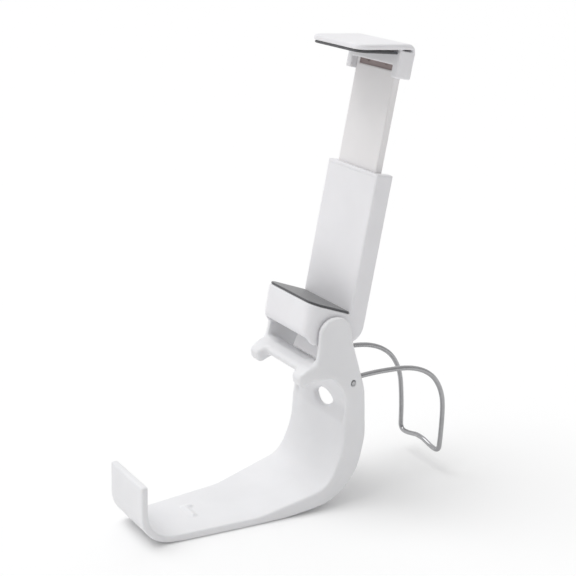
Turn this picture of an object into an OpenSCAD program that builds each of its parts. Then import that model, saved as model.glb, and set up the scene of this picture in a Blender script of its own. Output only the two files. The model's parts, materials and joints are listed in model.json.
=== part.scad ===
// Hinged phone clamp on a J-shaped game-controller bracket, with a folding wire loop behind.
// Millimetres. +X runs across the width, -Y is the front (the lip's side) and +Z is up.
// The origin is the middle of the tongue's upper face, where the controller rests.

/* [Controller bracket] */
// Distance from the lip's inner face to the web's inner face
seat_depth = 73; // [70:0.5:76]
// Overall width over the cheeks
bracket_width = 34.4; // [34.2:0.1:36]
// Width of the tongue at the lip
lip_width = 24; // [18:0.2:26]
// Height of the lip above the tongue's upper face
lip_height = 20; // [12:0.5:24]
// Thickness of the tongue, web and lip
wall = 2.4; // [2:0.1:2.8]
// Width of each of the two claws
claw_width = 6; // [5:0.1:7]
// Width of the cable slot in the web
slot_width = 11.5; // [9:0.5:16]
// Height of the cable slot in the web
slot_height = 5.8; // [5.6:0.2:7]

/* [Phone clamp] */
// Width of the sleeve and of both jaws
clamp_width = 29; // [28.6:0.1:29]
// Depth of the sleeve, front to back
sleeve_depth = 7; // [7:0.1:7.6]
// Height of the sleeve's rim above the lower jaw
sleeve_height = 47; // [44:0.5:48]
// Reach of both jaws in front of the sleeve
jaw_reach = 17; // [14:0.5:17.5]
// Thickness of the rubber pads
pad_thickness = 0.8; // [0.6:0.1:1]
// Backward lean of the clamp when it stands open
clamp_lean = 10; // [6:0.5:12]
// Opening between the pads' front edges with the slider pulled right out
phone_gap = 82.8; // [80:0.1:84]
// Tilt of the lower jaw, whose front edge stands higher than its back
jaw_tilt = 10.5; // [6:0.5:12]

/* [Slider] */
// Width of the slider
slider_width = 22; // [20:0.1:22.2]
// Thickness of the slider
slider_thickness = 2.8; // [2.6:0.1:3]

/* [Wire loop] */
// Diameter of the wire
wire_diameter = 1.8; // [1.5:0.1:1.8]
// Distance from the wire's pivot back to its hanging legs
wire_reach = 44.6; // [42:0.1:48]
// Distance from the level legs down to the crossbar
wire_drop = 38; // [34:0.5:40]

/* [Hinge pin] */
// Diameter of the hinge pin
pin_diameter = 3.6; // [3:0.1:4]

/* [Hidden] */

$fn = 64;
arc_steps = 8;
far = 200;

half_seat = seat_depth / 2;
half_bracket = bracket_width / 2;
half_clamp = clamp_width / 2;
half_slider = slider_width / 2;
cheek_wall = 2.2;
claw_inset = 0.5;
// The slot's middle, and the ribs behind the web.
slot_z = 32.6;
rib_place = 5;
rib_thickness = 1.2;
rib_top = 25;
cheek_inside = half_bracket - cheek_wall;

// The hinge's axis, behind and above the claws.
hinge_y = half_seat - 5.65;
hinge_z = 62.5;
lobe_radius = 5.7;
// The hinge's axis in the clamp's own frame: y = 0 is the sleeve's front, z = 0 the jaw's top.
axis_y = -6.6;
axis_z = -8;

socket_depth = 1.4;
pin_radius = pin_diameter / 2;
pin_half = cheek_inside + socket_depth - 0.1;
running_gap = 0.05;

// The wire's pivot, low in the cheeks.
wire_y = half_seat + 3;
wire_z = 43.3;
wire_radius = wire_diameter / 2;
wire_hole_radius = wire_radius + 0.1;
wire_leg_x = cheek_inside - 0.9 - wire_radius;
wire_bend = 15;
wire_corner = 3;

// The sleeve's channel: front wall, then the slider, then the leaf spring, then the back cover.
front_wall = 1.6;
slide_clearance = 0.1;
channel_half = half_slider + slide_clearance;
channel_front = front_wall;
slider_front = front_wall + slide_clearance;
slider_back = slider_front + slider_thickness;
cover_front = slider_back + 1.2;
cover_half = half_clamp - 0.75;
cover_bottom = -5;
cover_top = sleeve_height - 1.2;
channel_bottom = -3;

// The slider's travel, from fully out to the cap's skirt meeting the sleeve's rim.
slide_travel = 31;
skirt_bottom = sleeve_height + slide_travel + 1;
slider_bottom = sleeve_height - 18;
jaw_root = -1.5;
jaw_rise = jaw_reach * tan(jaw_tilt);
jaw_under = jaw_root + jaw_rise + phone_gap + 2 * pad_thickness;
jaw_slope = 7.5;
slider_top = jaw_under + 0.6;

cover_screw_radius = 0.8;
cover_screw_head = 1.25;
screw_head_height = 0.8;
jaw_screw_radius = 0.9;
jaw_screw_head = 1.8;

// ---- outline helpers -----------------------------------------------------------------------

function unit(v) = v / norm(v);
function heading(v) = atan2(v[1], v[0]);
function turned(a, b) = ((b - a + 540) % 360) - 180;

// Points of the arc of radius r that rounds the corner b between a and c.
function corner_arc(a, b, c, r) =
    let (
        u = unit(a - b),
        w = unit(c - b),
        half = acos(u * w) / 2,
        centre = b + unit(u + w) * (r / sin(half)),
        start = heading(b + u * (r / tan(half)) - centre),
        sweep = turned(start, heading(b + w * (r / tan(half)) - centre))
    )
    [for (i = [0 : arc_steps])
        centre + r * [cos(start + sweep * i / arc_steps), sin(start + sweep * i / arc_steps)]];

function at(p) = [p[0], p[1]];

// A closed outline whose corners [a, b, radius] are rounded, or left sharp at radius 0.
function rounded(corners) =
    let (n = len(corners))
    [for (i = [0 : n - 1])
        each corners[i][2] == 0
            ? [at(corners[i])]
            : corner_arc(at(corners[(i + n - 1) % n]), at(corners[i]),
                at(corners[(i + 1) % n]), corners[i][2])];

// A line of corners moved sideways by d, with the outside radii grown to match.
function side_step(p, q) = let (u = unit(q - p)) [u[1], -u[0]];
function shifted(corners, d) =
    let (n = len(corners))
    [for (i = [0 : n - 1])
        let (
            here = at(corners[i]),
            before = i == 0 ? side_step(here, at(corners[1])) : side_step(at(corners[i - 1]), here),
            after = i == n - 1 ? before : side_step(here, at(corners[i + 1])),
            mid = unit(before + after),
            left_turn = before[0] * after[1] - before[1] * after[0] > 0
        )
        [here[0] + mid[0] * d / (mid * before), here[1] + mid[1] * d / (mid * before),
            corners[i][2] == 0 ? 0 : max(0.4, corners[i][2] + (left_turn ? d : -d))]];

function backwards(list) = [for (i = [len(list) - 1 : -1 : 0]) list[i]];

// A side outline drawn in (y, z) and extruded across X from x0 to x1.
module side_slab(x0, x1) {
    translate([x0, 0, 0])
        rotate([90, 0, 90])
            linear_extrude(x1 - x0)
                children();
}

module x_rod(r, x0, x1, y, z) {
    translate([x0, y, z])
        rotate([0, 90, 0])
            cylinder(r = r, h = x1 - x0);
}

module y_rod(r, x, y0, y1, z) {
    translate([x, y0, z])
        rotate([-90, 0, 0])
            cylinder(r = r, h = y1 - y0);
}

module both_sides() {
    children();
    mirror([1, 0, 0])
        children();
}

// A slab between two heights with a rounded rectangle for its outline.
module round_block(x, y0, y1, z0, z1, r) {
    translate([0, 0, z0])
        linear_extrude(z1 - z0)
            polygon(rounded([[-x, y0, r], [x, y0, r], [x, y1, 0.6], [-x, y1, 0.6]]));
}

// ---- bracket -------------------------------------------------------------------------------

// The inner face of the J, from the lip's top round to the visor's front edge.
inner_face = [
    [-half_seat, lip_height, 0],
    [-half_seat, 0, 9.5],
    [half_seat - 32.5, 0, 30],
    [half_seat - 5.3, 5.8, 11],
    [half_seat - 0.2, 18, 25],
    [half_seat + 0.4, 28, 3],
    [half_seat + 2.6, 33.5, 5],
    [half_seat + 0.8, 42, 6],
    [half_seat - 6.5, 47.2, 5],
    [half_seat - 15, 48.7, 0]
];

module j_strip() {
    polygon(rounded(concat(inner_face, backwards(shifted(inner_face, wall)))));
}

// The tongue narrows from the bend to the lip.
module tongue_plan() {
    polygon([
        [-lip_width / 2, -half_seat - 10], [lip_width / 2, -half_seat - 10],
        [lip_width / 2, -half_seat + 6], [half_bracket, half_seat - 12],
        [half_bracket, half_seat + 30], [-half_bracket, half_seat + 30],
        [-half_bracket, half_seat - 12], [-lip_width / 2, -half_seat + 6]
    ]);
}

module tongue_plan_inside() {
    polygon([
        [-lip_width / 2 + cheek_wall, -half_seat - 10], [lip_width / 2 - cheek_wall, -half_seat - 10],
        [lip_width / 2 - cheek_wall, -half_seat + 6], [cheek_inside, half_seat - 12],
        [cheek_inside, half_seat + 30], [-cheek_inside, half_seat + 30],
        [-cheek_inside, half_seat - 12], [-lip_width / 2 + cheek_wall, -half_seat + 6]
    ]);
}

// The cheeks and the flange under the tongue, seen from the side.
module cheek_outline() {
    polygon(rounded([
        [-half_seat + 12, -1, 0],
        [half_seat - 32.5, -1, 30],
        [half_seat - 4, 5.2, 12],
        [half_seat + 0.8, 18, 25],
        [half_seat + 0.6, 38.5, 9],
        [half_seat - 5.6, 47.4, 3],
        [half_seat - 12, 47, 2],
        [half_seat - 12.4, 52.4, 2],
        [hinge_y - lobe_radius, 58, 3],
        [hinge_y - lobe_radius, hinge_z, 0],
        [hinge_y + lobe_radius, hinge_z, 0],
        [hinge_y + lobe_radius + 2.4, 57.5, 12],
        [half_seat + 8.2, 40, 25],
        [half_seat + 9.3, 22, 22],
        [half_seat + 4.7, 0.8, 20],
        [half_seat - 22.5, -2.6, 40],
        [-half_seat + 12, -2.6, 0]
    ]));
    translate([hinge_y, hinge_z])
        circle(r = lobe_radius);
}

// The visor over the controller's face, and the claws that reach down from it.
module visor_outline() {
    polygon(rounded([
        [half_seat - 15.4, 48.5, 0.8], [half_seat - 15.9, 50.5, 0.8],
        [half_seat - 12.4, 52.4, 0.5], [half_seat - 9, 52.2, 0.5],
        [half_seat - 3, 49, 2], [half_seat - 6, 47.4, 0]
    ]));
}

module claw_outline() {
    polygon(rounded([
        [half_seat - 11, 52.6, 0.5], [half_seat - 19.2, 49.6, 1.7],
        [half_seat - 18, 44.5, 1.7], [half_seat - 12.3, 46.9, 1],
        [half_seat - 5, 47.4, 0], [half_seat - 8, 51, 0]
    ]));
}

// A leaf-shaped slot between two arcs.
module cable_slot() {
    arc_radius = (slot_width * slot_width / 4 + slot_height * slot_height / 4) / slot_height;
    intersection_for (side = [-1, 1])
        y_rod(arc_radius, 0, half_seat - 4, half_seat + 8,
            slot_z + side * (arc_radius - slot_height / 2));
}

// Two thin ribs behind the web, from the heel up to the wire.
module stiffening_ribs() {
    for (x = [-rib_place, rib_place])
        intersection() {
            side_slab(x - rib_thickness / 2, x + rib_thickness / 2)
                cheek_outline();
            translate([-far, half_seat - 22, -far])
                cube([2 * far, 40, far + rib_top]);
        }
}

module bracket_shell() {
    color("whitesmoke")
        difference() {
            union() {
                intersection() {
                    side_slab(-half_bracket, half_bracket)
                        j_strip();
                    translate([0, 0, -20])
                        linear_extrude(100)
                            tongue_plan();
                }
                intersection() {
                    side_slab(-half_bracket, half_bracket)
                        cheek_outline();
                    translate([0, 0, -20])
                        linear_extrude(100)
                            difference() {
                                tongue_plan();
                                tongue_plan_inside();
                            }
                }
                side_slab(-cheek_inside - 0.5, cheek_inside + 0.5)
                    visor_outline();
                both_sides()
                    side_slab(half_bracket - claw_inset - claw_width, half_bracket - claw_inset)
                        claw_outline();
                stiffening_ribs();
                grip_nib();
            }
            cable_slot();
            for (side = [-1, 1])
                x_rod(pin_radius + running_gap, side > 0 ? cheek_inside - 1 : -cheek_inside - socket_depth,
                    side > 0 ? cheek_inside + socket_depth : -cheek_inside + 1, hinge_y, hinge_z);
            x_rod(wire_hole_radius, -far, far, wire_y, wire_z);
        }
}

// A small raised L on the tongue that keeps the controller from creeping forward.
module grip_nib() {
    nib_left = -5;
    nib_front = -15.4;
    nib_wall = 1.2;
    nib_top = 0.8;
    rooted = 0.5;
    translate([nib_left, nib_front, -rooted])
        cube([8, nib_wall, nib_top + rooted]);
    translate([nib_left, nib_front, -rooted])
        cube([nib_wall, 3.4, nib_top + rooted]);
}

// ---- phone clamp ---------------------------------------------------------------------------

// Puts what is drawn in the clamp's own frame into its leaning place.
module on_hinge() {
    translate([0, hinge_y, hinge_z])
        rotate([-clamp_lean, 0, 0])
            translate([0, -axis_y, -axis_z])
                children();
}

module clamp_outline() {
    polygon(rounded([
        [0, sleeve_height, 0.4], [sleeve_depth, sleeve_height, 0.4],
        [sleeve_depth + 0.3, -11, 7], [-2, -12.8, 3],
        [-jaw_reach + 4, -12.8, 3.5], [-jaw_reach + 0.3, -9, 4],
        [-jaw_reach, jaw_root + jaw_rise, 0], [0, jaw_root, 0]
    ]));
}

// The underside of the jaw is open, as a moulding is.
module jaw_hollow() {
    translate([-half_clamp + 2, -jaw_reach + 2.2, -20])
        cube([clamp_width - 4, jaw_reach - 3.2, 16.6]);
}

// A shoe that turns concentrically in the bracket's saddle and hides most of the inside.
shoe_left = -3;
shoe_right = 12.5;
shoe_radius = 10.4;

module tail_shoe() {
    translate([0, axis_y, axis_z])
        intersection() {
            x_rod(shoe_radius, shoe_left, shoe_right, 0, 0);
            side_slab(shoe_left, shoe_right)
                polygon([[0, -2], [-2.4, -11], [9, -11], [9, -2]]);
        }
}

module clamp_body() {
    color("white")
        on_hinge()
            difference() {
                union() {
                    difference() {
                        intersection() {
                            side_slab(-half_clamp, half_clamp)
                                clamp_outline();
                            round_block(half_clamp, -jaw_reach - 0.01, sleeve_depth + 1, -20,
                                sleeve_height + 1, 4.2);
                        }
                        jaw_hollow();
                    }
                    intersection() {
                        x_rod(4, -half_clamp + 1, half_clamp - 1, axis_y, axis_z);
                        translate([-far, axis_y - 5, -far])
                            cube([2 * far, 10, far]);
                    }
                    tail_shoe();
                }
                translate([-channel_half, channel_front, channel_bottom])
                    cube([2 * channel_half, far, far]);
                translate([-cover_half - 0.05, cover_front, cover_bottom - 0.05])
                    cube([2 * cover_half + 0.1, far, cover_top - cover_bottom + 0.1]);
                x_rod(pin_radius, -far, far, axis_y, axis_z);
                sleeve_screw_places()
                    y_rod(cover_screw_radius, 0, cover_front - 3, cover_front + 1, 0);
            }
}

module sleeve_screw_places() {
    for (x = [-1, 1])
        for (z = [cover_bottom + 2, sleeve_height - 5])
            translate([x * cover_screw_x, 0, z])
                children();
}

module sleeve_back() {
    color("whitesmoke")
        on_hinge()
            difference() {
                translate([-cover_half, cover_front, cover_bottom])
                    cube([2 * cover_half, sleeve_depth - cover_front, cover_top - cover_bottom]);
                sleeve_screw_places() {
                    y_rod(cover_screw_radius, 0, 0, far, 0);
                    y_rod(cover_screw_head + 0.1, 0, sleeve_depth - screw_head_height, far, 0);
                }
                y_rod(0.7, 0, cover_front - 1, cover_front + 0.9, spring_screw_z);
            }
}

// A thread-forming screw lying along Y with its head to the back.
module cover_screw(x, z) {
    color("silver")
        on_hinge()
            difference() {
                union() {
                    y_rod(cover_screw_radius, x, cover_front - 2.6,
                        sleeve_depth - screw_head_height, z);
                    y_rod(cover_screw_head, x, sleeve_depth - screw_head_height,
                        sleeve_depth - 0.1, z);
                }
                cross_recess(x, sleeve_depth - 0.1, z, 1.4);
            }
}

module cross_recess(x, y, z, span) {
    slit = 0.4;
    for (size = [[span, slit], [slit, span]])
        translate([x - size[0] / 2, y - 0.5, z - size[1] / 2])
            cube([size[0], 1, size[1]]);
}

upper_screw_z = sleeve_height - 5;
lower_screw_z = cover_bottom + 2;
cover_screw_x = channel_half + 1.2;

module sleeve_screw_upper_left() {
    cover_screw(-cover_screw_x, upper_screw_z);
}

module sleeve_screw_upper_right() {
    cover_screw(cover_screw_x, upper_screw_z);
}

module sleeve_screw_lower_left() {
    cover_screw(-cover_screw_x, lower_screw_z);
}

module sleeve_screw_lower_right() {
    cover_screw(cover_screw_x, lower_screw_z);
}

module lower_pad() {
    color("dimgray")
        on_hinge()
            intersection() {
                side_slab(-half_clamp + 0.4, half_clamp - 0.4)
                    polygon([
                        [0, jaw_root], [0, jaw_root + pad_thickness],
                        [-jaw_reach, jaw_root + jaw_rise + pad_thickness],
                        [-jaw_reach, jaw_root + jaw_rise]
                    ]);
                round_block(half_clamp - 0.4, -jaw_reach + 0.4, 0, -far / 2, far, 4);
            }
}

module hinge_pin() {
    color("silver")
        translate([0, hinge_y, hinge_z])
            rotate([0, 90, 0])
                union() {
                    cylinder(r = pin_radius, h = 2 * pin_half - 1, center = true);
                    for (side = [0, 180])
                        rotate([side, 0, 0])
                            translate([0, 0, pin_half - 0.5])
                                cylinder(r1 = pin_radius, r2 = pin_radius - 0.4, h = 0.5);
                }
}

module friction_washer(x) {
    color("silver")
        difference() {
            x_rod(4.2, x, x + 0.4, hinge_y, hinge_z);
            x_rod(pin_radius + running_gap, x - 1, x + 2, hinge_y, hinge_z);
        }
}

module friction_washer_left() {
    friction_washer(-half_clamp - 0.4);
}

module friction_washer_right() {
    friction_washer(half_clamp);
}

// A bowed leaf behind the slider holds it where it is put.
spring_screw_z = 12;
spring_contact_z = slider_bottom + 9;

module slide_spring() {
    leaf = 0.3;
    span = 9;
    flat = 4;
    color("silver")
        on_hinge()
            difference() {
                side_slab(-3, 3)
                    polygon([
                        [cover_front - leaf, spring_screw_z - flat],
                        [cover_front, spring_screw_z - flat],
                        [cover_front, spring_contact_z - span],
                        [slider_back + 0.1 + leaf, spring_contact_z - 1],
                        [slider_back + 0.1 + leaf, spring_contact_z + 1],
                        [cover_front - 0.1, spring_contact_z + span],
                        [cover_front - 0.1 - leaf, spring_contact_z + span],
                        [slider_back + 0.1, spring_contact_z + 1],
                        [slider_back + 0.1, spring_contact_z - 1],
                        [cover_front - leaf, spring_contact_z - span]
                    ]);
                y_rod(0.75, 0, 0, far, spring_screw_z);
            }
}

module slide_spring_screw() {
    color("silver")
        on_hinge()
            union() {
                y_rod(0.7, 0, cover_front - 0.3, cover_front + 0.8, spring_screw_z);
                y_rod(1.4, 0, cover_front - 0.7, cover_front - 0.3, spring_screw_z);
            }
}

// ---- slider --------------------------------------------------------------------------------

notch_pitch = 2.5;
notch_radius = 0.8;

module slider_arm() {
    color("white")
        on_hinge()
            difference() {
                translate([-half_slider, slider_front, slider_bottom])
                    cube([slider_width, slider_thickness, slider_top - slider_bottom]);
                for (z = [slider_bottom + 9 : notch_pitch : slider_bottom + 9 + slide_travel])
                    x_rod(notch_radius, -3.5, 3.5, slider_back + 0.4, z);
                y_rod(1.2, 0, 0, far, slider_bottom + 2.5);
                for (x = [-5, 5])
                    y_rod(jaw_screw_radius, x, slider_back - 2.2, far, jaw_screw_z);
            }
}

// The button under the slider's foot meets the bow of the spring before the slider comes out.
module slider_stop() {
    color("silver")
        on_hinge()
            union() {
                y_rod(1.2, 0, slider_front + 0.2, slider_back, slider_bottom + 2.5);
                y_rod(1.9, 0, slider_back, slider_back + 0.4, slider_bottom + 2.5);
            }
}

jaw_screw_z = jaw_under - 3.4;
jaw_back = 6.3;

// The cap's top: a plate that rises gently to the back, and a rounded back corner.
module jaw_plate_outline() {
    rise = (jaw_reach + jaw_back) * tan(jaw_slope);
    polygon(rounded([
        [-jaw_reach, jaw_under, 0.7], [-jaw_reach, jaw_under + 1.9, 0.9],
        [jaw_back, jaw_under + 1.9 + rise, 3.2], [jaw_back, jaw_under - 1, 0],
        [jaw_back - 1.5, jaw_under - 1, 0], [jaw_back - 1.5, jaw_under + rise * 0.9, 0]
    ]));
}

module upper_jaw() {
    cheek_front = -0.2;
    color("white")
        on_hinge()
            difference() {
                intersection() {
                    union() {
                        side_slab(-half_clamp, half_clamp)
                            jaw_plate_outline();
                        translate([-half_clamp, cheek_front, skirt_bottom])
                            cube([clamp_width, jaw_back - cheek_front, jaw_under + 2 - skirt_bottom]);
                    }
                    round_block(half_clamp, -jaw_reach - 0.01, jaw_back, 0, far, 4.2);
                }
                translate([-half_slider - 0.3, -1, -far])
                    cube([slider_width + 0.6, 2.6, far + jaw_under - 3]);
                translate([-half_slider - 0.02, slider_front - 0.02, -far])
                    cube([slider_width + 0.04, slider_thickness + 0.04, far + slider_top + 0.02]);
                for (x = [-5, 5]) {
                    y_rod(jaw_screw_radius + 0.1, x, 2, far, jaw_screw_z);
                    y_rod(jaw_screw_head + 0.1, x, jaw_back - 0.8, far, jaw_screw_z);
                }
            }
}

module upper_pad() {
    color("dimgray")
        on_hinge()
            intersection() {
                side_slab(-half_clamp + 0.4, half_clamp - 0.4)
                    polygon([
                        [-jaw_reach + 0.4, jaw_under], [-jaw_reach + 0.4, jaw_under - pad_thickness],
                        [-0.5, jaw_under - pad_thickness + 1.4], [-0.5, jaw_under + 1.4]
                    ]);
                round_block(half_clamp - 0.4, -jaw_reach + 0.4, 0, 0, far, 4);
            }
}

module jaw_screw(x) {
    color("silver")
        on_hinge()
            difference() {
                union() {
                    y_rod(jaw_screw_radius, x, slider_back - 2, jaw_back - 0.8, jaw_screw_z);
                    y_rod(jaw_screw_head, x, jaw_back - 0.8, jaw_back, jaw_screw_z);
                }
                cross_recess(x, jaw_back, jaw_screw_z, 2);
            }
}

module jaw_screw_left() {
    jaw_screw(-5);
}

module jaw_screw_right() {
    jaw_screw(5);
}

// ---- wire loop -----------------------------------------------------------------------------

stub_bend = 1.1;
back_y = wire_y + wire_reach;
foot_z = wire_z - wire_drop;

// A quarter turn of wire about Z, from +X round to +Y.
module wire_turn(bend) {
    rotate_extrude(angle = 90)
        translate([bend, 0])
            circle(r = wire_radius, $fn = 32);
}

// One side of the loop: pivot stub, level leg, round bend, hanging leg and lower corner.
module half_loop() {
    leg = wire_leg_x;
    x_rod(wire_radius, leg + stub_bend, half_bracket - 0.1, wire_y, wire_z);
    translate([leg + stub_bend, wire_y + stub_bend, wire_z])
        rotate([0, 0, 180])
            wire_turn(stub_bend);
    y_rod(wire_radius, leg, wire_y + stub_bend, back_y - wire_bend, wire_z);
    translate([leg, back_y - wire_bend, wire_z - wire_bend])
        rotate([90, 0, 90])
            wire_turn(wire_bend);
    translate([leg, back_y, foot_z + wire_corner])
        cylinder(r = wire_radius, h = wire_z - wire_bend - foot_z - wire_corner);
    translate([leg - wire_corner, back_y, foot_z + wire_corner])
        rotate([-90, 0, 0])
            wire_turn(wire_corner);
    x_rod(wire_radius, 0, leg - wire_corner, back_y, foot_z);
}

module wire_loop() {
    color("silver")
        both_sides()
            half_loop();
}

bracket_shell();
clamp_body();
sleeve_back();
sleeve_screw_upper_left();
sleeve_screw_upper_right();
sleeve_screw_lower_left();
sleeve_screw_lower_right();
lower_pad();
hinge_pin();
friction_washer_left();
friction_washer_right();
slide_spring();
slide_spring_screw();
slider_arm();
slider_stop();
upper_jaw();
upper_pad();
jaw_screw_left();
jaw_screw_right();
wire_loop();
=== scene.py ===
"""The looks of the hinged phone clamp: moulded white shells, rubber pads and bright wire."""

import json
import math

import bmesh
import bpy
import numpy as np
import openvdb as vdb
from mathutils import Matrix, Vector


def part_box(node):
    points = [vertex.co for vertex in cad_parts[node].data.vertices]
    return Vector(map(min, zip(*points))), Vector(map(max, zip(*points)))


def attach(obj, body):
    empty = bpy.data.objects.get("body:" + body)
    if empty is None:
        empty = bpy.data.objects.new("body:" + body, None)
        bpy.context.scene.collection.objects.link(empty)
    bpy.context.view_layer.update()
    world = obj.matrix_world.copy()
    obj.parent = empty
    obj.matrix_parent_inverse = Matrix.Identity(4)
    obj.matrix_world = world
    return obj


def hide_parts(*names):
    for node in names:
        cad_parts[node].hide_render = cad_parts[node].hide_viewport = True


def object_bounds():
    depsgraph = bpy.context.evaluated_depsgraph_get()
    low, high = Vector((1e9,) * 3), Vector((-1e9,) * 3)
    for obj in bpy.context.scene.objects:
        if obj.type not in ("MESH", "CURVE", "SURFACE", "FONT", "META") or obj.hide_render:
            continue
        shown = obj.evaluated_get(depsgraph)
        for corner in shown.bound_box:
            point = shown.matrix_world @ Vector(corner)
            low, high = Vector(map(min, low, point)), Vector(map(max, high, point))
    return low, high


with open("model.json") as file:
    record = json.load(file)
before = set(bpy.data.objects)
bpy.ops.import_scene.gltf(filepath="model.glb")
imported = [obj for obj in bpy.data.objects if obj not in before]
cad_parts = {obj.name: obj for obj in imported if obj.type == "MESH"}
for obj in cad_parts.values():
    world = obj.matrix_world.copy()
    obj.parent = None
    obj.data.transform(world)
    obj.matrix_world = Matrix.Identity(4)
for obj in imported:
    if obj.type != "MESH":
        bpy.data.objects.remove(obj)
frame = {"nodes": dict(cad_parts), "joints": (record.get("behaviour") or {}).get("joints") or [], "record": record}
cad_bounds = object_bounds()

MM = 0.001


# ---- places that the frame gives ---------------------------------------------------------------

joints = {joint["name"]: joint for joint in frame["joints"]}
HINGE = np.array(joints["clamp_tilt"]["pos_m"]) / MM
WIRE_PIVOT = np.array(joints["wire_fold"]["pos_m"]) / MM
SLIDE = np.array(joints["jaw_slide"]["axis"])
LEAN = math.atan2(SLIDE[1], SLIDE[2])


def fine(step):
    """A grid's step in millimetres, returned unchanged."""
    return step * 1


def new_object(name, data):
    """An object of the scene that holds the given data."""
    obj = bpy.data.objects.new(name, data)
    bpy.context.scene.collection.objects.link(obj)
    return obj


def node_box(name):
    """A node's lowest and highest corners in millimetres."""
    low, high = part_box(name)
    return np.array(low) / MM, np.array(high) / MM


BRACKET_LOW, BRACKET_HIGH = node_box("bracket_shell")
HALF_BRACKET = BRACKET_HIGH[0]
# The origin is the middle of the seat, so the lip and the web lie this far each way.
WALL = 2.4
HALF_SEAT = -BRACKET_LOW[1] - WALL
CHEEK_WALL = 2.2
CHEEK_INSIDE = HALF_BRACKET - CHEEK_WALL
LIP_HEIGHT = 20.0
LIP_HALF = 12.0
LOBE_RADIUS = 5.7
CLAW_WIDTH = 6.0
CLAW_INSET = 0.5
# The two ribs behind the web.
RIB_PLACE = 5.0
RIB_HALF = 0.6
RIB_TOP = 25.0
WIRE_RADIUS = 0.9
# The leaf-shaped slot in the web.
SLOT_HALF = 5.75
SLOT_RISE = 2.9
SLOT_Z = 32.6

# The hinge's axis in the clamp's own frame, where y = 0 is the sleeve's front.
AXIS_Y = -6.6
AXIS_Z = -8.0
CLAMP_HALF = 14.5
SLEEVE_DEPTH = 7.0
SLEEVE_HEIGHT = 47.0
JAW_REACH = 17.0
PAD_THICK = 0.8
PHONE_GAP = 82.8
# The lower jaw's top falls from the front to its root at the sleeve.
JAW_ROOT = -1.5
JAW_FRONT = JAW_ROOT + JAW_REACH * math.tan(math.radians(10.5))
JAW_UNDER = JAW_FRONT + PHONE_GAP + 2 * PAD_THICK
JAW_BACK = 6.3
JAW_SCREW_Z = JAW_UNDER - 3.4
JAW_SCREW_PLACES = (-5, 5)
SLIDER_HALF = 11.0
SLIDER_FRONT = 1.7
SLIDER_BACK = 4.5
SLIDER_FOOT = 29.0
SKIRT = 79.0
# The window in the slider's front, just under the cap.
WINDOW_HALF = 9.5
WINDOW_LOW = 81.0
WINDOW_TOP = 83.3
WINDOW_DEPTH = 0.5


# ---- distance fields ---------------------------------------------------------------------------
# A solid is a field of signed distances, negative inside. Y and Z are a grid's own axes.


def smooth_union(a, b, r):
    """Two fields joined with a fillet of about r."""
    h = np.clip(0.5 + 0.5 * (b - a) / r, 0, 1)
    return b + (a - b) * h - r * h * (1 - h)


def smooth_cut(a, b, r):
    """Field b taken from field a, with the rim rounded by about r."""
    return -smooth_union(-a, b, r)


def smooth_both(a, b, r):
    """Where two fields overlap, with the edges rounded by about r."""
    return -smooth_union(-a, -b, r)


def unit(v):
    return v / np.hypot(*v)


def corner_arc(a, b, c, r, steps):
    """Points of the arc of radius r that rounds corner b between a and c."""
    a, b, c = (np.array(p, float) for p in (a, b, c))
    u, w = unit(a - b), unit(c - b)
    half = math.acos(np.clip(u @ w, -1, 1)) / 2
    centre = b + unit(u + w) * (r / math.sin(half))
    first = b + u * (r / math.tan(half)) - centre
    last = b + w * (r / math.tan(half)) - centre
    start = math.atan2(first[1], first[0])
    sweep = math.atan2(last[1], last[0]) - start
    sweep = (sweep + math.pi) % (2 * math.pi) - math.pi
    turns = start + sweep * np.linspace(0, 1, steps + 1)
    return [tuple(centre + r * np.array([math.cos(t), math.sin(t)])) for t in turns]


def rounded(corners, steps=10):
    """A closed outline whose corners (y, z, radius) are rounded, or sharp at radius 0."""
    n = len(corners)
    points = []
    for i, (y, z, r) in enumerate(corners):
        if r == 0:
            points.append((y, z))
        else:
            before, after = corners[i - 1], corners[(i + 1) % n]
            points += corner_arc(before[:2], (y, z), after[:2], r, steps)
    return points


def side_step(p, q):
    u = unit(np.array(q[:2], float) - np.array(p[:2], float))
    return np.array([u[1], -u[0]])


def shifted(corners, d):
    """A line of corners moved sideways by d, with the outside radii grown to match."""
    n = len(corners)
    moved = []
    for i, corner in enumerate(corners):
        here = np.array(corner[:2], float)
        before = side_step(corner, corners[1]) if i == 0 else side_step(corners[i - 1], corner)
        after = before if i == n - 1 else side_step(corner, corners[i + 1])
        mid = unit(before + after)
        left_turn = before[0] * after[1] - before[1] * after[0] > 0
        place = here + mid * d / (mid @ before)
        r = corner[2]
        moved.append((*place, 0 if r == 0 else max(0.4, r + (d if left_turn else -d))))
    return moved


def polygon_field(points, a, b):
    """Signed distance on the grid (a, b) to a closed polygon."""
    p = np.array(points, float)
    q = np.roll(p, -1, axis=0)
    near = np.full(a.shape, 1e9)
    inside = np.zeros(a.shape, bool)
    for (ya, za), (yb, zb) in zip(p, q):
        dy, dz = yb - ya, zb - za
        length = dy * dy + dz * dz
        if length < 1e-12:
            continue
        t = np.clip(((a - ya) * dy + (b - za) * dz) / length, 0, 1)
        near = np.minimum(near, (a - ya - t * dy) ** 2 + (b - za - t * dz) ** 2)
        crosses = (za > b) != (zb > b)
        if abs(dz) > 1e-12:
            inside ^= crosses & (a < ya + (b - za) * dy / dz)
    near = np.sqrt(near)
    return np.where(inside, -near, near)


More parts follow.
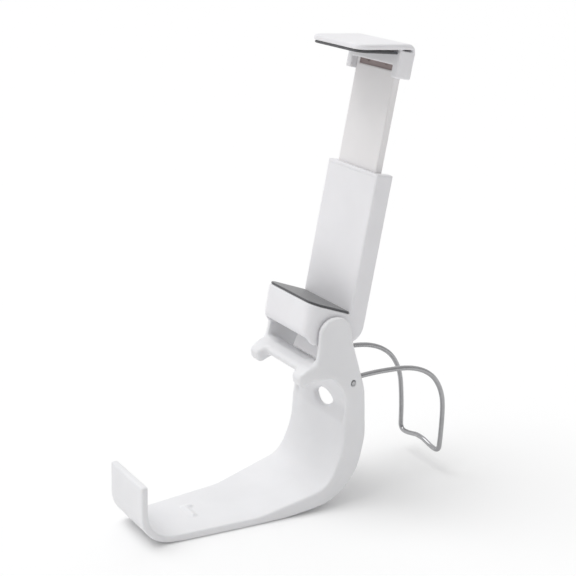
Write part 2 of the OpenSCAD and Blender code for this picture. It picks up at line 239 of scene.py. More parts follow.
class Grid:
    """A box of sample points for one solid, in millimetres."""

    def __init__(self, low, high, step):
        self.low = np.array(low, float)
        self.step = step
        counts = np.ceil((np.array(high, float) - self.low) / step).astype(int) + 1
        self.axes = [self.low[i] + step * np.arange(counts[i]) for i in range(3)]
        self.x = self.axes[0][:, None, None]
        self.y = self.axes[1][None, :, None]
        self.z = self.axes[2][None, None, :]

    def side(self, points):
        """An outline in (y, z), the same all across X."""
        y, z = np.meshgrid(self.axes[1], self.axes[2], indexing="ij")
        return polygon_field(points, y, z)[None, :, :]

    def plan(self, points):
        """An outline in (x, y), the same all the way up."""
        x, y = np.meshgrid(self.axes[0], self.axes[1], indexing="ij")
        return polygon_field(points, x, y)[:, :, None]

    def front(self, points):
        """An outline in (x, z), the same all the way back."""
        x, z = np.meshgrid(self.axes[0], self.axes[2], indexing="ij")
        return polygon_field(points, x, z)[:, None, :]

    def across(self, x0, x1):
        """The slab between two values of x."""
        return np.maximum(x0 - self.x, self.x - x1)

    def between(self, low, high, r=0.0):
        """A box with its edges rounded by r."""
        low, high = np.array(low, float), np.array(high, float)
        mid, half = (low + high) / 2, (high - low) / 2 - r
        dx = np.abs(self.x - mid[0]) - half[0]
        dy = np.abs(self.y - mid[1]) - half[1]
        dz = np.abs(self.z - mid[2]) - half[2]
        out = np.sqrt(np.maximum(dx, 0) ** 2 + np.maximum(dy, 0) ** 2 + np.maximum(dz, 0) ** 2)
        return out + np.minimum(np.maximum(dx, np.maximum(dy, dz)), 0) - r

    def rod_x(self, y, z, r):
        """An endless rod along X."""
        return np.hypot(self.y - y, self.z - z) - r

    def rod_y(self, x, z, r):
        """An endless rod along Y."""
        return np.hypot(self.x - x, self.z - z) - r

    def mesh(self, name, field, place=None):
        """The zero surface of a field as a smooth mesh object, placed in metres."""
        values = np.ascontiguousarray(np.broadcast_to(field, self.shape()), dtype=np.float32)
        band = 3 * self.step
        volume = vdb.FloatGrid(band)
        volume.copyFromArray(np.clip(values, -band, band), ijk=(0, 0, 0), tolerance=0)
        points, quads = volume.convertToQuads(isovalue=0.0)
        points = (self.low + points * self.step) * MM
        if place is not None:
            rotation = np.array(place.to_3x3())
            points = points @ rotation.T + np.array(place.translation)
        mesh = bpy.data.meshes.new(name)
        mesh.vertices.add(len(points))
        mesh.vertices.foreach_set("co", points.astype(np.float32).ravel())
        mesh.loops.add(4 * len(quads))
        mesh.loops.foreach_set("vertex_index", quads[:, ::-1].astype(np.int32).ravel())
        mesh.polygons.add(len(quads))
        mesh.polygons.foreach_set("loop_start", np.arange(0, 4 * len(quads), 4, dtype=np.int32))
        mesh.update(calc_edges=True)
        mesh.validate()
        mesh.polygons.foreach_set("use_smooth", np.ones(len(mesh.polygons), bool))
        return new_object(name, mesh)

    def shape(self):
        return tuple(len(axis) for axis in self.axes)


def clamp_place():
    """The clamp's own frame, in metres: y = 0 is the sleeve's front, z = 0 the jaw's top."""
    lean = Matrix.Rotation(-LEAN, 4, "X")
    hinge = Matrix.Translation(Vector(HINGE * MM))
    return hinge @ lean @ Matrix.Translation(Vector((0, -AXIS_Y * MM, -AXIS_Z * MM)))


CLAMP = clamp_place()


# ---- materials ---------------------------------------------------------------------------------


def node_material(name):
    """A new node material with its Principled shader and a helper to add nodes."""
    material = bpy.data.materials.new(name)
    material.use_nodes = True
    tree = material.node_tree
    shader = tree.nodes["Principled BSDF"]

    def add(kind, **settings):
        node = tree.nodes.new(kind)
        for key, value in settings.items():
            if key in node.inputs:
                node.inputs[key].default_value = value
            else:
                setattr(node, key, value)
        return node

    return material, tree.links, shader, add


def ramp(add, low, high, start=0.0, end=1.0):
    """A two-colour ramp."""
    node = add("ShaderNodeValToRGB")
    first, last = node.color_ramp.elements[0], node.color_ramp.elements[1]
    first.position, last.position = start, end
    first.color, last.color = (*low, 1), (*high, 1)
    return node


def moulded_white(name, tint, roughness, seed):
    """Satin white plastic: faint cloudiness, a fine spark-eroded grain and small rubs."""
    material, links, shader, add = node_material(name)
    where = add("ShaderNodeTexCoord")
    shift = add("ShaderNodeMapping")
    shift.inputs["Location"].default_value = (seed, seed * 0.37, seed * 0.11)
    links.new(where.outputs["Object"], shift.inputs["Vector"])

    cloud = add("ShaderNodeTexNoise", Scale=60.0, Detail=3.0)
    links.new(shift.outputs["Vector"], cloud.inputs["Vector"])
    darker = tuple(0.965 * c for c in tint)
    colours = ramp(add, darker, tint, 0.35, 0.65)
    links.new(cloud.outputs["Fac"], colours.inputs["Fac"])
    links.new(colours.outputs["Color"], shader.inputs["Base Color"])

    rubs = add("ShaderNodeTexNoise", Scale=420.0, Detail=5.0, Roughness=0.65)
    links.new(shift.outputs["Vector"], rubs.inputs["Vector"])
    rough = add("ShaderNodeMapRange")
    rough.inputs["To Min"].default_value = roughness - 0.05
    rough.inputs["To Max"].default_value = roughness + 0.07
    links.new(rubs.outputs["Fac"], rough.inputs["Value"])
    links.new(rough.outputs["Result"], shader.inputs["Roughness"])

    grain = add("ShaderNodeTexNoise", Scale=3200.0, Detail=2.0)
    links.new(shift.outputs["Vector"], grain.inputs["Vector"])
    wave = add("ShaderNodeTexNoise", Scale=110.0, Detail=1.0)
    links.new(shift.outputs["Vector"], wave.inputs["Vector"])
    fine = add("ShaderNodeBump", Strength=0.10, Distance=0.00005)
    links.new(grain.outputs["Fac"], fine.inputs["Height"])
    sink = add("ShaderNodeBump", Strength=0.12, Distance=0.0004)
    links.new(wave.outputs["Fac"], sink.inputs["Height"])
    links.new(sink.outputs["Normal"], fine.inputs["Normal"])
    links.new(fine.outputs["Normal"], shader.inputs["Normal"])
    shader.inputs["Subsurface Weight"].default_value = 0.08
    shader.inputs["Subsurface Radius"].default_value = (0.002, 0.0018, 0.0016)
    shader.inputs["Subsurface Scale"].default_value = 0.6
    shader.inputs["IOR"].default_value = 1.5
    return material


def rubber(name):
    """Dark silicone with a fine matt grain and a little dust."""
    material, links, shader, add = node_material(name)
    where = add("ShaderNodeTexCoord")
    dust = add("ShaderNodeTexNoise", Scale=900.0, Detail=6.0, Roughness=0.7)
    links.new(where.outputs["Object"], dust.inputs["Vector"])
    colours = ramp(add, (0.03, 0.03, 0.034), (0.08, 0.08, 0.088), 0.3, 0.75)
    links.new(dust.outputs["Fac"], colours.inputs["Fac"])
    links.new(colours.outputs["Color"], shader.inputs["Base Color"])
    rough = add("ShaderNodeMapRange")
    rough.inputs["To Min"].default_value = 0.34
    rough.inputs["To Max"].default_value = 0.5
    shader.inputs["Sheen Weight"].default_value = 0.4
    shader.inputs["Sheen Roughness"].default_value = 0.35
    shader.inputs["Specular IOR Level"].default_value = 0.8
    links.new(dust.outputs["Fac"], rough.inputs["Value"])
    links.new(rough.outputs["Result"], shader.inputs["Roughness"])
    grain = add("ShaderNodeTexVoronoi", Scale=2600.0)
    links.new(where.outputs["Object"], grain.inputs["Vector"])
    bump = add("ShaderNodeBump", Strength=0.25, Distance=0.00008)
    links.new(grain.outputs["Distance"], bump.inputs["Height"])
    links.new(bump.outputs["Normal"], shader.inputs["Normal"])
    return material


def steel(name, tint, roughness, stretch):
    """Bright steel with fine drawing lines stretched by the given factors."""
    material, links, shader, add = node_material(name)
    where = add("ShaderNodeTexCoord")
    lines = add("ShaderNodeMapping")
    lines.inputs["Scale"].default_value = stretch
    links.new(where.outputs["Object"], lines.inputs["Vector"])
    scratch = add("ShaderNodeTexNoise", Scale=700.0, Detail=5.0, Roughness=0.6)
    links.new(lines.outputs["Vector"], scratch.inputs["Vector"])
    colours = ramp(add, tuple(0.86 * c for c in tint), tint, 0.3, 0.7)
    links.new(scratch.outputs["Fac"], colours.inputs["Fac"])
    links.new(colours.outputs["Color"], shader.inputs["Base Color"])
    rough = add("ShaderNodeMapRange")
    rough.inputs["To Min"].default_value = roughness - 0.05
    rough.inputs["To Max"].default_value = roughness + 0.10
    links.new(scratch.outputs["Fac"], rough.inputs["Value"])
    links.new(rough.outputs["Result"], shader.inputs["Roughness"])
    bump = add("ShaderNodeBump", Strength=0.12, Distance=0.00004)
    links.new(scratch.outputs["Fac"], bump.inputs["Height"])
    links.new(bump.outputs["Normal"], shader.inputs["Normal"])
    shader.inputs["Metallic"].default_value = 1.0
    return material


def paint(obj, material):
    obj.data.materials.clear()
    obj.data.materials.append(material)


def paint_window_shade(material):
    """Painted shade: a dark brown tint on the floor of the slider's shallow window, standing for the shade in a
    deeper opening.
    """
    nodes, links = material.node_tree.nodes, material.node_tree.links
    shader = next(n for n in nodes if n.type == "BSDF_PRINCIPLED")
    plain = shader.inputs["Base Color"].links[0].from_socket
    where = nodes.new("ShaderNodeTexCoord")

    def edges(axis, low, high, blur):
        """Two masks, for the low and the high end of a stretch along one of the clamp's axes."""
        direction = CLAMP.col[axis].to_3d()
        offset = CLAMP.translation.dot(direction)
        dot = nodes.new("ShaderNodeVectorMath")
        dot.operation = "DOT_PRODUCT"
        dot.inputs[1].default_value = direction
        links.new(where.outputs["Object"], dot.inputs[0])
        sides = []
        for start, end in ((low - blur, low + blur), (high + blur, high - blur)):
            step = nodes.new("ShaderNodeMapRange")
            step.inputs["From Min"].default_value = start * MM + offset
            step.inputs["From Max"].default_value = end * MM + offset
            links.new(dot.outputs["Value"], step.inputs["Value"])
            sides.append(step.outputs["Result"])
        return sides

    # The painted shade covers the window's floor, with soft edges.
    masks = (
        edges(2, WINDOW_LOW, WINDOW_TOP, 0.1)
        + edges(1, SLIDER_FRONT + 0.25, SLIDER_FRONT + 0.8, 0.12)
        + edges(0, -WINDOW_HALF - 0.1, WINDOW_HALF + 0.1, 0.1)
    )
    inside = masks[0]
    for mask in masks[1:]:
        times = nodes.new("ShaderNodeMath")
        times.operation = "MULTIPLY"
        links.new(inside, times.inputs[0])
        links.new(mask, times.inputs[1])
        inside = times.outputs["Value"]
    window_shade_mix = nodes.new("ShaderNodeMix")
    window_shade_mix.data_type = "RGBA"
    links.new(inside, window_shade_mix.inputs[0])
    links.new(plain, window_shade_mix.inputs[6])
    # The colour of the painted shade in the window.
    window_shade_mix.inputs[7].default_value = (0.26, 0.205, 0.2, 1)
    links.new(window_shade_mix.outputs[2], shader.inputs["Base Color"])


WHITE_SHELL = moulded_white("white_shell", (0.79, 0.79, 0.805), 0.36, 1.3)
WHITE_CLAMP = moulded_white("white_clamp", (0.80, 0.795, 0.815), 0.36, 7.9)
WHITE_SLIDER = moulded_white("white_slider", (0.80, 0.785, 0.79), 0.32, 4.2)
# The slider's material gets painted shade in its window.
paint_window_shade(WHITE_SLIDER)
RUBBER = rubber("rubber_pad")
WIRE_STEEL = steel("wire_steel", (0.42, 0.42, 0.43), 0.13, (1.0, 1.0, 1.0))
PIN_STEEL = steel("pin_steel", (0.6, 0.6, 0.61), 0.28, (0.2, 1.0, 1.0))
SCREW_STEEL = steel("screw_steel", (0.55, 0.55, 0.57), 0.32, (1.0, 1.0, 1.0))
SPRING_STEEL = steel("spring_steel", (0.5, 0.5, 0.52), 0.3, (1.0, 1.0, 0.1))


# ---- bracket -----------------------------------------------------------------------------------


def bracket_inner_face():
    """The inner face of the J, from the lip's top round to the visor's front edge."""
    s = HALF_SEAT
    return [
        (-s, LIP_HEIGHT, 0),
        (-s, 0, 9.5),
        (s - 32.5, 0, 30),
        (s - 5.3, 5.8, 11),
        (s - 0.2, 18, 25),
        (s + 0.4, 28, 3),
        (s + 2.6, 33.5, 5),
        (s + 0.8, 42, 6),
        (s - 6.5, 47.2, 5),
        (s - 15, 48.7, 0),
    ]


def tongue_plan(inset):
    """The bracket's plan: narrow at the lip, full width from the bend back."""
    s, lip, wide = HALF_SEAT, LIP_HALF - inset, HALF_BRACKET - inset
    right = [(lip, -s - 12, 0), (lip, -s + 6, 0), (wide, s - 12, 30), (wide, s + 30, 0)]
    left = [(-x, y, r) for x, y, r in reversed(right)]
    return rounded(left + right)


def cheek_outline():
    """The cheeks and the flange under the tongue, seen from the side."""
    s = HALF_SEAT
    lobe = LOBE_RADIUS
    y, z = HINGE[1], HINGE[2]
    return rounded([
        (s - 61, -1.2, 0),
        (s - 32.5, -1, 30),
        (s - 4, 5.2, 12),
        (s + 0.8, 18, 25),
        (s + 0.6, 38.5, 9),
        (s - 5.6, 47.4, 3),
        (s - 12, 47, 2),
        (s - 12.4, 52.4, 2),
        (y - lobe, 58, 3),
        (y - lobe, z + lobe, lobe - 0.01),
        (y + lobe, z + lobe, lobe - 0.01),
        (y + lobe + 2.4, 57.5, 12),
        (s + 8.2, 40, 25),
        (s + 9.3, 22, 22),
        (s + 4.7, 0.8, 20),
        (s - 22.5, -2.6, 40),
        (s - 61, -2.6, 0),
    ])


def bracket_shell():
    """The J moulding: tongue, lip, web, cheeks, visor and claws, blended as one casting."""
    s = HALF_SEAT
    low, high = BRACKET_LOW - 1.5, BRACKET_HIGH + 1.5
    g = Grid(low, high, fine(0.44))
    plan_out = g.plan(tongue_plan(0))
    plan_in = g.plan(tongue_plan(CHEEK_WALL))

    face = bracket_inner_face()
    strip = g.side(rounded(face + shifted(face, WALL)[::-1]))
    strip = smooth_both(strip, plan_out, 0.9)

    flange = smooth_both(g.side(cheek_outline()), plan_out, 1.0)
    flange = smooth_cut(flange, plan_in, 0.5)
    body = smooth_union(strip, flange, 1.2)

    visor = g.side(rounded([
        (s - 15.4, 48.5, 0.8), (s - 15.9, 50.5, 0.8), (s - 12.4, 52.4, 0.5),
        (s - 9, 52.2, 0.5), (s - 3, 49, 2), (s - 6, 47.4, 0),
    ]))
    visor = np.maximum(visor, g.across(-CHEEK_INSIDE - 0.5, CHEEK_INSIDE + 0.5))
    body = smooth_union(body, visor, 0.8)

    claw = g.side(rounded([
        (s - 11, 52.6, 0.5), (s - 19.2, 49.6, 1.7), (s - 18, 44.5, 1.7),
        (s - 12.3, 46.9, 1), (s - 5, 47.4, 0), (s - 8, 51, 0),
    ]))
    for side in (-1, 1):
        outer = HALF_BRACKET - CLAW_INSET
        x0, x1 = sorted((side * (outer - CLAW_WIDTH), side * outer))
        tip = smooth_both(claw, g.across(x0, x1), 1.6)
        body = smooth_union(body, tip, 2.2)

    ribs = g.side(cheek_outline())
    ribs = np.maximum(ribs, np.maximum(s - 22 - g.y, g.z - RIB_TOP))
    for x in (-RIB_PLACE, RIB_PLACE):
        rib = np.maximum(ribs, g.across(x - RIB_HALF, x + RIB_HALF))
        body = smooth_union(body, rib, 0.5)

    arc = (SLOT_HALF ** 2 + SLOT_RISE ** 2) / (2 * SLOT_RISE)
    upper = np.hypot(g.x, g.z - (SLOT_Z + SLOT_RISE - arc)) - arc
    lower = np.hypot(g.x, g.z - (SLOT_Z - SLOT_RISE + arc)) - arc
    slot = np.maximum(smooth_both(upper, lower, 0.4), np.abs(g.y - (s + 2)) - 6)
    body = smooth_cut(body, slot, 1.0)
    body = smooth_both(body, plan_out, 0.8)
    body = np.maximum(body, BRACKET_LOW[2] - g.z)

    for side in (-1, 1):
        x0, x1 = sorted((side * (CHEEK_INSIDE - 1), side * (CHEEK_INSIDE + 1.4)))
        socket = np.maximum(g.rod_x(HINGE[1], HINGE[2], 1.85), g.across(x0, x1))
        body = np.maximum(body, -socket)
    body = smooth_cut(body, g.rod_x(WIRE_PIVOT[1], WIRE_PIVOT[2], 1.05), 0.25)

    nib_corner = (-5, -15.6, -1.8)
    nib_top = 0.7
    nib_long = g.between(nib_corner, (3, -14.0, nib_top), 0.7)
    nib_short = g.between(nib_corner, (-3.4, -12, nib_top), 0.7)
    body = smooth_union(body, np.minimum(nib_long, nib_short), 1.0)

    obj = g.mesh("bracket_moulding", body)
    return finish_piece(obj, WHITE_SHELL, "bracket", "white_shell", "bracket_shell")


# ---- phone clamp ---------------------------------------------------------------------------------


def finish_piece(obj, material, body, slot, *nodes):
    """Paints a piece, fixes it to its body and lets it stand for its CAD nodes."""
    paint(obj, material)
    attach(obj, body)
    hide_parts(*nodes)
    return obj


def block_plan(g, x, y0, y1, r):
    """A rounded rectangle in plan, with the large radius at the front."""
    return g.plan(rounded([(-x, y0, r), (x, y0, r), (x, y1, 0.8), (-x, y1, 0.8)]))


CHANNEL_HALF = SLIDER_HALF + 0.1
COVER_FRONT = SLIDER_BACK + 1.2
COVER_HALF = CLAMP_HALF - 0.75
COVER_LOW = -5.0
COVER_TOP = SLEEVE_HEIGHT - 1.2
COVER_SCREW = 0.8
COVER_SINK = 1.35
SINK_DEPTH = 0.8
COVER_SCREWS = [
    (side * (CHANNEL_HALF + 1.2), z)
    for side in (-1, 1)
    for z in (COVER_LOW + 2, SLEEVE_HEIGHT - 5)
]


def clamp_body():
    """The sleeve with its lower jaw in one moulding."""
    half, reach = CLAMP_HALF, JAW_REACH
    g = Grid((-half - 1, -reach - 1, -19.5), (half + 1, 9, SLEEVE_HEIGHT + 1), fine(0.3))
    side = g.side(rounded([
        (0, SLEEVE_HEIGHT, 0), (SLEEVE_DEPTH, SLEEVE_HEIGHT, 0),
        (SLEEVE_DEPTH + 0.3, -11, 7), (-2, -12.8, 3),
        (-reach + 4, -12.8, 3.5), (-reach + 0.3, -9, 4),
        (-reach, JAW_FRONT, 0), (0, JAW_ROOT, 0),
    ]))
    body = smooth_both(side, block_plan(g, half, -reach, SLEEVE_DEPTH + 0.3, 4.2), 0.9)
    hollow = g.between((-half + 2, -reach + 2.2, -25), (half - 2, -1, -3.4), 0.8)
    body = smooth_cut(body, hollow, 0.5)
    boss = np.maximum(g.rod_x(AXIS_Y, AXIS_Z, 4), np.abs(g.x) - (half - 1))
    body = smooth_union(body, boss, 0.5)
    shoe = g.side([
        (AXIS_Y, AXIS_Z - 2), (AXIS_Y - 2.4, AXIS_Z - 11),
        (AXIS_Y + 9, AXIS_Z - 11), (AXIS_Y + 9, AXIS_Z - 2),
    ])
    shoe = smooth_both(shoe, g.rod_x(AXIS_Y, AXIS_Z, 10.4), 0.4)
    body = smooth_union(body, np.maximum(shoe, g.across(-3, 12.5)), 0.4)
    channel = g.between((-CHANNEL_HALF, SLIDER_FRONT - 0.1, -3), (CHANNEL_HALF, 99, 199))
    body = smooth_cut(body, channel, 0.3)
    pocket = g.between(
        (-COVER_HALF - 0.1, COVER_FRONT, COVER_LOW - 0.1), (COVER_HALF + 0.1, 99, COVER_TOP + 0.1)
    )
    body = smooth_cut(body, pocket, 0.3)
    body = np.maximum(body, -g.rod_x(AXIS_Y, AXIS_Z, 1.8))
    for x, z in COVER_SCREWS:
        bore = np.maximum(g.rod_y(x, z, COVER_SCREW), COVER_FRONT - 3 - g.y)
        body = np.maximum(body, -bore)
    obj = g.mesh("clamp_moulding", body, CLAMP)
    return finish_piece(obj, WHITE_CLAMP, "clamp", "white_clamp", "clamp_body")


def sleeve_back():
    """The cover plate with its four screw sinks and a shallow panel."""
    g = Grid(
        (-COVER_HALF - 1, COVER_FRONT - 1, COVER_LOW - 1),
        (COVER_HALF + 1, SLEEVE_DEPTH + 1, COVER_TOP + 1), fine(0.28),
    )
    body = g.between(
        (-COVER_HALF, COVER_FRONT, COVER_LOW), (COVER_HALF, SLEEVE_DEPTH, COVER_TOP), 0.35
    )
    panel = g.front(rounded([
        (-8.2, 2, 1.6), (8.2, 2, 1.6), (8.2, COVER_TOP - 7, 1.6), (-8.2, COVER_TOP - 7, 1.6),
    ]))
    body = smooth_cut(body, np.maximum(panel, SLEEVE_DEPTH - 0.25 - g.y), 0.25)
    for x, z in COVER_SCREWS:
        sink = np.maximum(g.rod_y(x, z, COVER_SINK), SLEEVE_DEPTH - SINK_DEPTH - g.y)
        body = smooth_cut(body, np.minimum(sink, g.rod_y(x, z, COVER_SCREW)), 0.15)
    obj = g.mesh("sleeve_cover", body, CLAMP)
    return finish_piece(obj, WHITE_CLAMP, "clamp", "white_clamp", "sleeve_back")


def lower_pad():
    """The rubber sheet on the lower jaw."""
    half, reach = CLAMP_HALF - 0.4, JAW_REACH - 0.4
    g = Grid((-half - 1, -reach - 1, JAW_ROOT - 1), (half + 1, 1, JAW_FRONT + 2), fine(0.2))
    side = g.side([
        (0, JAW_ROOT), (0, JAW_ROOT + PAD_THICK),
        (-JAW_REACH, JAW_FRONT + PAD_THICK), (-JAW_REACH, JAW_FRONT),
    ])
    body = smooth_both(block_plan(g, half, -reach, -0.05, 4), side, 0.35)
    obj = g.mesh("lower_rubber", body, CLAMP)
    return finish_piece(obj, RUBBER, "clamp", "rubber_pad", "lower_pad")


def slider_arm():
    """The flat sliding bar, with a rack of notches up its back."""
    top, foot = JAW_UNDER + 0.6, SLIDER_FOOT
    g = Grid(
        (-SLIDER_HALF - 1, SLIDER_FRONT - 1, foot - 1), (SLIDER_HALF + 1, SLIDER_BACK + 1, top + 1),
        fine(0.3),
    )
    body = g.between((-SLIDER_HALF, SLIDER_FRONT, foot), (SLIDER_HALF, SLIDER_BACK, top), 0.4)
    for i in range(13):
        notch = np.maximum(g.rod_x(SLIDER_BACK + 0.4, foot + 9 + 2.5 * i, 0.8), np.abs(g.x) - 3.5)
        body = smooth_cut(body, notch, 0.15)
    body = np.maximum(body, -g.rod_y(0, foot + 2.5, 1.2))
    window = g.between(
        (-WINDOW_HALF, SLIDER_FRONT - 2, WINDOW_LOW),
        (WINDOW_HALF, SLIDER_FRONT + WINDOW_DEPTH, WINDOW_TOP), 0.3,
    )
    body = smooth_cut(body, window, 0.2)
    for x in JAW_SCREW_PLACES:
        hole = np.maximum(g.rod_y(x, JAW_SCREW_Z, 0.9), SLIDER_BACK - 2.2 - g.y)
        body = np.maximum(body, -hole)
    obj = g.mesh("slider_bar", body, CLAMP)
    return finish_piece(obj, WHITE_SLIDER, "slider", "white_slider", "slider_arm")


JAW_RISE = (JAW_REACH + JAW_BACK) * math.tan(math.radians(7.5))


def upper_jaw():
    """The cap: a thin plate over a skirt that holds the slider's top."""
    half, under, back = CLAMP_HALF, JAW_UNDER, JAW_BACK
    g = Grid((-half - 1, -JAW_REACH - 1, SKIRT - 1), (half + 1, back + 1, under + 7), fine(0.26))
    plate = g.side(rounded([
        (-JAW_REACH, under, 0.5), (-JAW_REACH, under + 1.9, 0.7),
        (back, under + 1.9 + JAW_RISE, 3.2), (back, under - 1, 0),
        (back - 1.5, under - 1, 0), (back - 1.5, under + JAW_RISE * 0.9, 0),
    ]))
    block = g.between((-half, -0.2, SKIRT), (half, back, under + 2), 0.5)
    plan = block_plan(g, half, -JAW_REACH, back, 4.2)
    body = smooth_union(plate, block, 0.5)
    body = smooth_both(body, plan, 0.9)
    mouth = g.between((-SLIDER_HALF - 0.3, -1, -9), (SLIDER_HALF + 0.3, 1.6, under - 3), 0)
    body = smooth_cut(body, mouth, 0.4)
    bar = g.between(
        (-SLIDER_HALF - 0.05, SLIDER_FRONT - 0.05, -9),
        (SLIDER_HALF + 0.05, SLIDER_BACK + 0.05, under + 0.65),
    )
    body = smooth_cut(body, bar, 0.2)
    for x in JAW_SCREW_PLACES:
        hole = g.rod_y(x, JAW_SCREW_Z, 1)
        sink = np.maximum(g.rod_y(x, JAW_SCREW_Z, 1.9), back - 0.8 - g.y)
        hole = np.maximum(np.minimum(hole, sink), 2 - g.y)
        body = smooth_cut(body, hole, 0.15)
    obj = g.mesh("cap_moulding", body, CLAMP)
    return finish_piece(obj, WHITE_CLAMP, "slider", "white_clamp", "upper_jaw")


def upper_pad():
    """The rubber sheet under the cap's plate."""
    half, reach, under = CLAMP_HALF - 0.4, JAW_REACH - 0.4, JAW_UNDER
    g = Grid((-half - 1, -reach - 1, under - 2.5), (half + 1, 1, under + 2.5), fine(0.2))
    side = g.side([
        (-reach, under), (-reach, under - PAD_THICK),
        (-0.5, under - PAD_THICK + 1.4), (-0.5, under + 1.4),
    ])
    body = smooth_both(side, block_plan(g, half, -reach, -0.5, 4), 0.45)
    obj = g.mesh("upper_rubber", body, CLAMP)
    return finish_piece(obj, RUBBER, "slider", "rubber_pad", "upper_pad")


# ---- wire loop -----------------------------------------------------------------------------------


def smooth_path(points, step):
    """A smooth line through the points, cut into steps of about the same length."""
    p = np.array(points, float)
    ends = np.vstack([2 * p[0] - p[1], p, 2 * p[-1] - p[-2]])
    dense = []
    for a, b, c, d in zip(ends, ends[1:], ends[2:], ends[3:]):
        t = np.linspace(0, 1, 24, endpoint=False)[:, None]
        dense.append(0.5 * (
            2 * b + (c - a) * t + (2 * a - 5 * b + 4 * c - d) * t**2 + (3 * b - a - 3 * c + d) * t**3
        ))
    dense = np.vstack([*dense, p[-1:]])
    for _ in range(30):
        dense[1:-1] += 0.5 * (0.5 * (dense[:-2] + dense[2:]) - dense[1:-1])
    run = np.r_[0, np.cumsum(np.linalg.norm(np.diff(dense, axis=0), axis=1))]
    places = np.linspace(0, run[-1], int(run[-1] / step) + 1)
    return np.column_stack([np.interp(places, run, dense[:, i]) for i in range(3)])


def tube(name, path, radius, sides):
    """A round wire swept along a path, with slightly domed ends."""
    tangents = np.gradient(path, axis=0)
    tangents /= np.linalg.norm(tangents, axis=1)[:, None]
    normal = np.cross(tangents[0], (0, 0, 1))
    if np.linalg.norm(normal) < 0.1:
        normal = np.cross(tangents[0], (0, 1, 0))
    rings = []
    for place, tangent in zip(path, tangents):
        normal = normal - tangent * (normal @ tangent)
        normal /= np.linalg.norm(normal)
        other = np.cross(tangent, normal)
        rings.append((place, tangent, normal, other, radius))
    first, last = rings[0], rings[-1]
    dome = [(0.0, 0.80), (0.12, 0.93), (0.3, 1.0)]
    start = [(first[0] + first[1] * a, *first[1:4], radius * k) for a, k in dome]
    finish = [(last[0] - last[1] * a, *last[1:4], radius * k) for a, k in reversed(dome)]
    rings = start + rings[1:-1] + finish
    mesh = bmesh.new()
    loops = []
    for place, _, u, v, r in rings:
        turn = [2 * math.pi * i / sides for i in range(sides)]
        loops.append([
            mesh.verts.new(Vector((place + r * (math.cos(t) * u + math.sin(t) * v)) * MM))
            for t in turn
        ])
    for a, b in zip(loops, loops[1:]):
        for i in range(sides):
            j = (i + 1) % sides
            mesh.faces.new((a[i], a[j], b[j], b[i])).smooth = True
    mesh.faces.new(list(reversed(loops[0])))
    mesh.faces.new(loops[-1])
    data = bpy.data.meshes.new(name)
    mesh.to_mesh(data)
    mesh.free()
    return new_object(name, data)


def wire_loop():
    """The bent wire: level legs that bow a little, a wide bend, and a kinked crossbar."""
    y, z = WIRE_PIVOT[1], WIRE_PIVOT[2]
    low, high = node_box("wire_loop")
    r = WIRE_RADIUS
    end_x = high[0]
    leg = CHEEK_INSIDE - 0.9 - r
    back = high[1] - r - 0.04
    foot = low[2] + r
    half = [
        (end_x, y, z), (leg + 1.6, y, z), (leg + 0.5, y + 0.45, z), (leg, y + 1.7, z + 0.1),
        (leg, y + 6, z + 0.4), (leg, y + 12, z + 0.5), (leg, y + 18, z + 0.3), (leg, y + 24, z - 0.2),
        (leg, y + 29, z - 1.2), (leg - 0.1, y + 34, z - 3.2), (leg - 0.2, y + 38.4, z - 6.4),
        (leg - 0.3, y + 41.6, z - 10.8), (leg - 0.4, back - 1.1, z - 15.7),
        (leg - 0.6, back - 0.35, z - 21), (leg - 1, back, z - 28), (leg - 1.3, back, foot + 3.4),
        (leg - 1.7, back, foot + 1.2), (leg - 3.2, back, foot + 0.15), (leg - 6.5, back, foot + 0.35),
        (2.5, back, foot + 1.35),
    ]
    path = half + [(-0.5, back, foot + 1.5)] + [(-a, b, c) for a, b, c in reversed(half)]
    obj = tube("wire_bail", smooth_path(path, 0.45), r, 24)
    return finish_piece(obj, WIRE_STEEL, "wire", "wire_steel", "wire_loop")


# ---- stage, lights and camera --------------------------------------------------------------------


def floor():
    """A pale seamless floor under the tongue."""
    material, _, shader, _ = node_material("studio_floor")
    shader.inputs["Base Color"].default_value = (0.93, 0.93, 0.93, 1)
    shader.inputs["Roughness"].default_value = 0.9
    mesh = bpy.data.meshes.new("studio_floor")
    size = 3.0
    z = cad_bounds[0][2]
    corners = [(-size, -size, z), (size, -size, z), (size, size, z), (-size, size, z)]
    mesh.from_pydata(corners, [], [(0, 1, 2, 3)])
    mesh.materials.append(material)
    new_object("studio_floor", mesh)


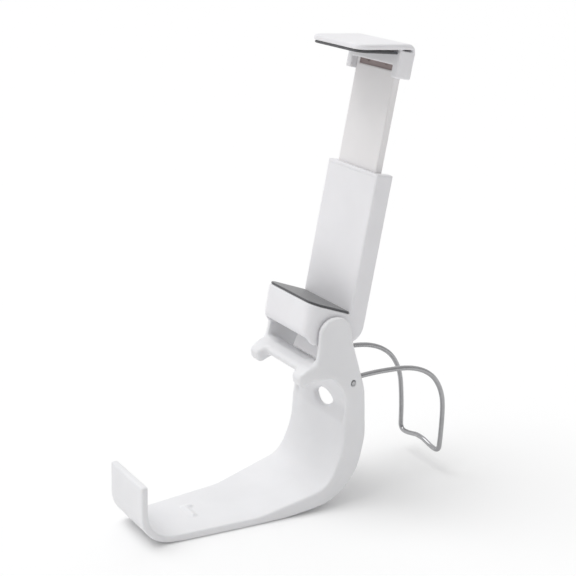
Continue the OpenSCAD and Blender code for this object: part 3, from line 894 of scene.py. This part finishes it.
def lights():
    """A high soft key from the left front, and a dimmer sky that darkens to the right."""
    world = bpy.data.worlds.new("studio")
    world.use_nodes = True
    tree = world.node_tree
    background = tree.nodes["Background"]
    where = tree.nodes.new("ShaderNodeTexCoord")
    split = tree.nodes.new("ShaderNodeSeparateXYZ")
    shade = tree.nodes.new("ShaderNodeMapRange")
    shade.inputs["From Min"].default_value = -0.6
    shade.inputs["From Max"].default_value = 0.9
    shade.inputs["To Min"].default_value = 0.92
    shade.inputs["To Max"].default_value = 0.50
    tree.links.new(where.outputs["Generated"], split.inputs["Vector"])
    tree.links.new(split.outputs["X"], shade.inputs["Value"])
    tree.links.new(shade.outputs["Result"], background.inputs["Strength"])
    background.inputs["Color"].default_value = (1, 1, 1, 1)
    bpy.context.scene.world = world
    data = bpy.data.lights.new("key", "SUN")
    data.energy = 1.15
    data.angle = math.radians(38)
    key = new_object("key", data)
    key.rotation_euler = Vector((0.2, 0.34, -0.92)).to_track_quat("-Z", "Y").to_euler()


def camera():
    """The viewpoint: near the right front, a little above, with a slight roll."""
    place = Vector((0.3594, -0.2112, 0.2169))
    right = Vector((0.53640456, 0.84343122, 0.02989862))
    back = Vector((0.79623212, -0.51749616, 0.31338816))
    up = back.cross(right)
    turn = Matrix((right, up, back)).transposed()
    data = bpy.data.cameras.new("camera")
    data.sensor_width = 36
    data.lens = 83.03125
    obj = new_object("camera", data)
    obj.matrix_world = Matrix.Translation(place) @ turn.to_4x4()
    bpy.context.scene.camera = obj


bpy.context.scene.view_settings.view_transform = "Standard"
camera()
floor()
lights()
bracket_shell()
clamp_body()
sleeve_back()
lower_pad()
slider_arm()
upper_jaw()
upper_pad()
wire_loop()

SLOT_MATERIAL = {
    "white_shell": WHITE_SHELL,
    "white_clamp": WHITE_CLAMP,
    "white_slider": WHITE_SLIDER,
    "rubber_pad": RUBBER,
    "wire_steel": WIRE_STEEL,
    "pin_steel": PIN_STEEL,
    "screw_steel": SCREW_STEEL,
    "spring_steel": SPRING_STEEL,
}
for part in frame["record"]["subparts"]:
    paint(frame["nodes"][part["node"]], SLOT_MATERIAL[part["material_slot"]])
